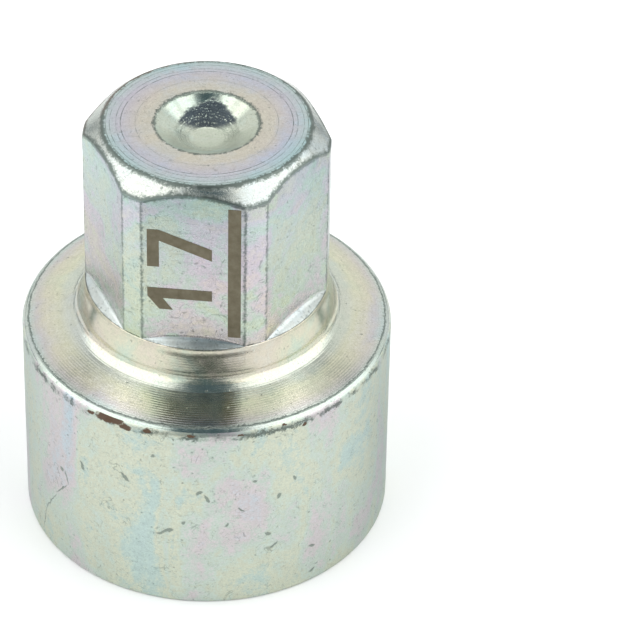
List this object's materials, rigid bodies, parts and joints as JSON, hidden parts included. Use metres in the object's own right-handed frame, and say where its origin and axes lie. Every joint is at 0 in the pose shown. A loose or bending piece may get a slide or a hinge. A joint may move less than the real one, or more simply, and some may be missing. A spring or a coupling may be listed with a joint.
{
  "type": "locking wheel bolt key socket",
  "caption": "Zinc-plated steel key socket with a hexagon drive, a sloping shoulder, a thin open skirt and a black lobed insert in its floor.",
  "frame": {"origin": "centre of the open rim of the skirt, in the plane of the rim that the key stands on", "axes": "+Z along the turning axis from the open rim towards the hexagon, -Y square to the hexagon flat that carries the size mark"},
  "size_m": [0.0285, 0.0284, 0.0355],
  "materials": {
    "zinc_plate": "bright zinc plate with a faint green, straw and lilac tint",
    "black_steel": "dull black oxide"
  },
  "bodies": {
    "root": {"drive_body": "zinc_plate", "key_insert": "black_steel"}
  },
  "joints": []
}
